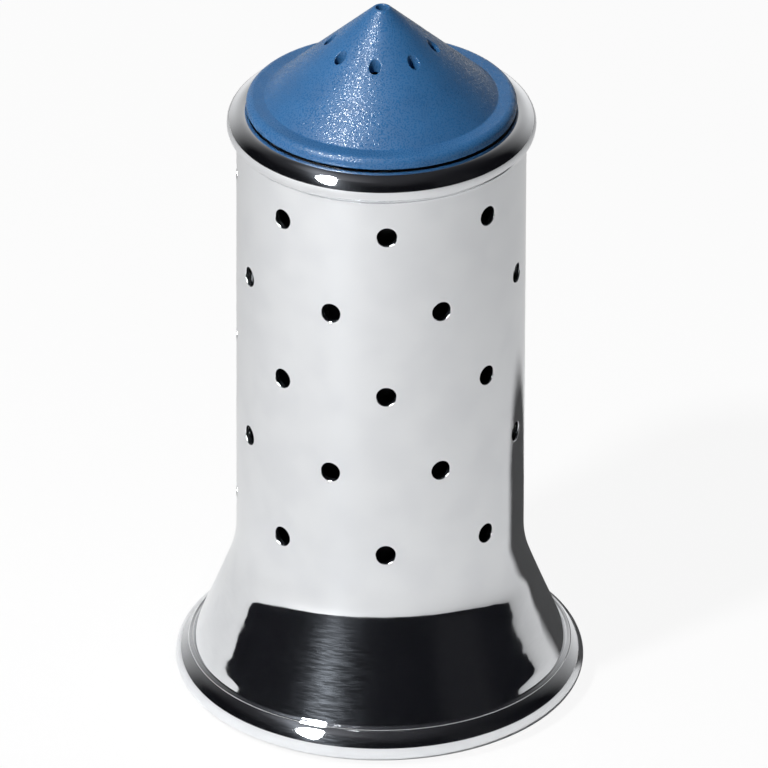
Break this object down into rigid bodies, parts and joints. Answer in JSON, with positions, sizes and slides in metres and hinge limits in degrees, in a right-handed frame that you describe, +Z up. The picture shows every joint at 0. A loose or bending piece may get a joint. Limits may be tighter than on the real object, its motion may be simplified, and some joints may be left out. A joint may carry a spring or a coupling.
{
  "type": "salt shaker",
  "caption": "Salt shaker: perforated mirror-steel sleeve with a flared base, a dark salt container inside and a conical plastic shaker cap that pulls off for refilling.",
  "frame": {"origin": "centre of the foot ring's underside, on the table", "axes": "+Z up along the shaker's axis, -Y through a column of perforations of the top row"},
  "size_m": [0.0598, 0.0598, 0.1094],
  "materials": {
    "polished_steel": "mirror-polished stainless steel sheet with fine polishing lines round the axis",
    "blue_plastic": "blue polyamide with a fine sparkling mould texture",
    "black_plastic": "black polyamide, glossy",
    "dark_rubber": "matt dark elastomer",
    "zinc_plate": "bright zinc-plated steel"
  },
  "bodies": {
    "body": {"steel_sleeve": "polished_steel", "salt_container": "black_plastic", "base_plate": "black_plastic", "foot_ring": "dark_rubber", "base_screw": "zinc_plate", "screw_washer": "zinc_plate"},
    "seal": {"cap_seal_ring": "dark_rubber"},
    "cap": {"shaker_cap": "blue_plastic"}
  },
  "joints": [
    {"name": "cap_lift", "type": "slide", "parent": "body", "child": "seal", "axis": [0, 0, 1], "range_m": [0, 0.035]},
    {"name": "cap_turn", "type": "hinge", "parent": "seal", "child": "cap", "pos_m": [0, 0, 0.0888], "axis": [0, 0, 1], "continuous": true}
  ]
}
